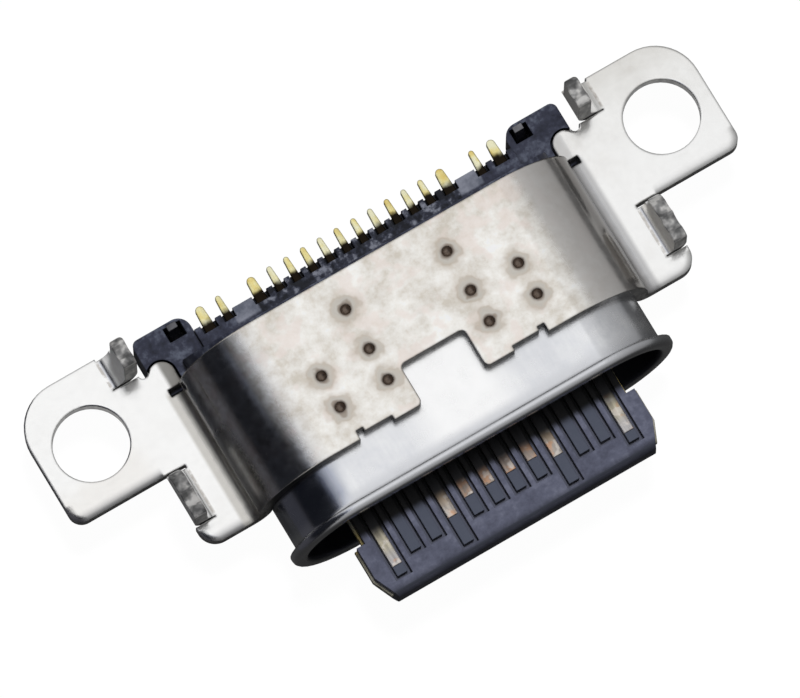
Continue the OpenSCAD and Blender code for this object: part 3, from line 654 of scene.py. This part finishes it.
def seen_white(tree):
    """1 for the rays that see the background: from the camera, and off metal or through glass."""
    path = tree.nodes.new("ShaderNodeLightPath").outputs
    total = path["Is Camera Ray"]
    for other in ("Is Glossy Ray", "Is Transmission Ray"):
        made = tree.nodes.new("ShaderNodeMath")
        made.operation = "MAXIMUM"
        tree.links.new(total, made.inputs[0])
        tree.links.new(path[other], made.inputs[1])
        total = made.outputs[0]
    return total


def floor():
    """A white floor that takes a faint shadow."""
    obj = level_sheet("floor", FLOOR_ENDS, FLOOR_ENDS, FLOOR_Z)
    tree = give_material(obj, "floor_white")
    tree.nodes.remove(tree.nodes["Principled BSDF"])
    lit = tree.nodes.new("ShaderNodeBsdfDiffuse")
    lit.inputs["Color"].default_value = FLOOR_GREY
    glow = tree.nodes.new("ShaderNodeEmission")
    share = tree.nodes.new("ShaderNodeMath")
    share.operation = "MULTIPLY"
    share.inputs[1].default_value = FLOOR_GLOW
    tree.links.new(seen_white(tree), share.inputs[0])
    tree.links.new(share.outputs[0], glow.inputs["Strength"])
    both = tree.nodes.new("ShaderNodeAddShader")
    tree.links.new(lit.outputs[0], both.inputs[0])
    tree.links.new(glow.outputs[0], both.inputs[1])
    tree.links.new(both.outputs[0], tree.nodes["Material Output"].inputs["Surface"])


def card(name, start, end, high, levels, tint=NEUTRAL):
    """A graded studio card that stands on the floor between two points, in mm, and that only reflections see.
    Levels are heights in mm, each with its brightness."""
    obj = sheet(name, [(*start, FLOOR_Z), (*end, FLOOR_Z), (*end, high), (*start, high)])
    tree = give_material(obj, name)
    tree.nodes.remove(tree.nodes["Principled BSDF"])
    place = tree.nodes.new("ShaderNodeTexCoord")
    axes = tree.nodes.new("ShaderNodeSeparateXYZ")
    tree.links.new(place.outputs["Object"], axes.inputs[0])
    height = tree.nodes.new("ShaderNodeMapRange")
    height.inputs["From Min"].default_value = FLOOR_Z * MM
    height.inputs["From Max"].default_value = high * MM
    tree.links.new(axes.outputs["Z"], height.inputs["Value"])
    grade = tree.nodes.new("ShaderNodeValToRGB")
    set_stops(grade.color_ramp, [((z - FLOOR_Z) / (high - FLOOR_Z), tuple(level * part for part in tint))
                                 for z, level in levels])
    tree.links.new(height.outputs[0], grade.inputs["Fac"])
    glow = tree.nodes.new("ShaderNodeEmission")
    tree.links.new(grade.outputs[0], glow.inputs["Color"])
    tree.links.new(glow.outputs[0], tree.nodes["Material Output"].inputs["Surface"])
    for_reflections_only(obj)


def mat(name, x_ends, y_ends, lift, level):
    """A grey mat just above the floor, which only reflections see.
    Its ends and its lift are in mm, and level is its brightness."""
    obj = level_sheet(name, x_ends, y_ends, FLOOR_Z + lift)
    shader = give_material(obj, name).nodes["Principled BSDF"]
    shader.inputs["Base Color"].default_value = MAT_GREY
    shader.inputs["Emission Color"].default_value = (level, level, level, 1)
    shader.inputs["Emission Strength"].default_value = 1.0
    for_reflections_only(obj)


def world():
    """Soft light all round that looks white wherever it is seen."""
    made = bpy.data.worlds.new("studio")
    bpy.context.scene.world = made
    made.use_nodes = True
    tree = made.node_tree
    soft = tree.nodes["Background"]
    soft.inputs["Color"].default_value = WHITE
    soft.inputs["Strength"].default_value = AMBIENT
    white = tree.nodes.new("ShaderNodeBackground")
    white.inputs["Color"].default_value = WHITE
    white.inputs["Strength"].default_value = 1.0
    mix = tree.nodes.new("ShaderNodeMixShader")
    tree.links.new(seen_white(tree), mix.inputs["Fac"])
    tree.links.new(soft.outputs[0], mix.inputs[1])
    tree.links.new(white.outputs[0], mix.inputs[2])
    tree.links.new(mix.outputs[0], tree.nodes["World Output"].inputs["Surface"])


def lamp(name, place, size, power):
    """A round lamp that points at the origin: place and size in metres, power in watts."""
    data = bpy.data.lights.new(name, "AREA")
    data.shape = "DISK"
    data.size = size
    data.energy = power
    obj = bpy.data.objects.new(name, data)
    bpy.context.scene.collection.objects.link(obj)
    obj.location = Vector(place)
    obj.rotation_euler = (-Vector(place)).to_track_quat("-Z", "Y").to_euler()
    obj.visible_camera = False
    obj.visible_glossy = False


def camera():
    """The camera of the photograph."""
    azimuth, elevation = math.radians(AZIMUTH), math.radians(ELEVATION)
    back = Vector((math.sin(azimuth) * math.cos(elevation), -math.cos(azimuth) * math.cos(elevation),
                   math.sin(elevation)))
    data = bpy.data.cameras.new("camera")
    data.sensor_width = SENSOR_WIDTH
    data.lens = SENSOR_WIDTH * DISTANCE / (VIEW_WIDTH * MM)
    data.clip_start = 0.01
    data.clip_end = 10.0
    obj = bpy.data.objects.new("camera", data)
    bpy.context.scene.collection.objects.link(obj)
    obj.location = Vector(TARGET) * MM + back * DISTANCE
    obj.rotation_mode = "QUATERNION"
    obj.rotation_quaternion = (-back).to_track_quat("-Z", "Y")
    bpy.context.scene.camera = obj


floor()
mat("mat", x_ends=(-41, 41), y_ends=(-51, 61), lift=0.01, level=0.03)
mat("left_ear_mat", x_ends=(-7.7, -5.9), y_ends=(-1.0, 1.0), lift=0.02, level=0.4)
mat("right_ear_mat", x_ends=(5.9, 7.7), y_ends=(-1.0, 1.0), lift=0.02, level=0.3)

# Graded cards all round, which the arch and the shell mirror
card("left_card", start=(-40, -90), end=(-40, 200), high=260.0, tint=COOL,
     levels=[(-1.4, 0.03), (34, 0.014), (42, 0.045), (58, 0.18), (96, 0.5), (150, 0.74), (240, 0.95)])
card("right_card", start=(40, -90), end=(40, 200), high=260.0,
     levels=[(-1.4, 0.3), (6, 0.36), (23, 0.42), (36, 0.49), (54, 0.54), (88, 0.68), (150, 0.87),
             (240, 0.97)])
card("front_card", start=(-90, -50), end=(90, -50), high=260.0,
     levels=[(-1.4, 0.1), (7, 0.2), (18, 0.48), (60, 0.58), (112, 0.66), (150, 0.75), (187, 0.84),
             (240, 0.95)])
card("back_card", start=(-41, 60), end=(41, 60), high=240.0,
     levels=[(-1.4, 0.2), (8, 0.3), (18, 0.55), (45, 0.66), (80, 0.78), (140, 0.9), (220, 0.97)])

# Dark flags close to the left ear, which darken the left side of the cover and the shell
card("left_flag", start=(FLAG_X, -0.3), end=(FLAG_X, 7), high=7.5, tint=BLUISH,
     levels=[(-1.4, 0.012), (5.5, 0.012), (7.5, 0.1)])
card("front_flag", start=(FLAG_X, -1.8), end=(FLAG_X, -0.3), high=15.0, tint=BLUISH,
     levels=[(-1.4, 0.012), (9, 0.012), (12, 0.1), (15, 0.3)])
card("shell_flag", start=(FLAG_X, -9), end=(FLAG_X, -1.8), high=30.0, tint=BLUISH,
     levels=[(-1.4, 0.012), (11, 0.012), (16, 0.06), (23, 0.24), (30, 0.42)])
card("left_strip", start=(STRIP_X, -8), end=(STRIP_X, 3), high=1.9, tint=COLD,
     levels=[(-1.4, 0.07), (1.1, 0.07), (1.9, 0.02)])
world()
lamp("key", place=(0.08, 0.1, 0.49), size=0.1, power=2.4)
lamp("fill", place=(-0.1, -0.35, 0.3), size=0.3, power=0.05)
camera()
bpy.context.scene.view_settings.view_transform = "Standard"
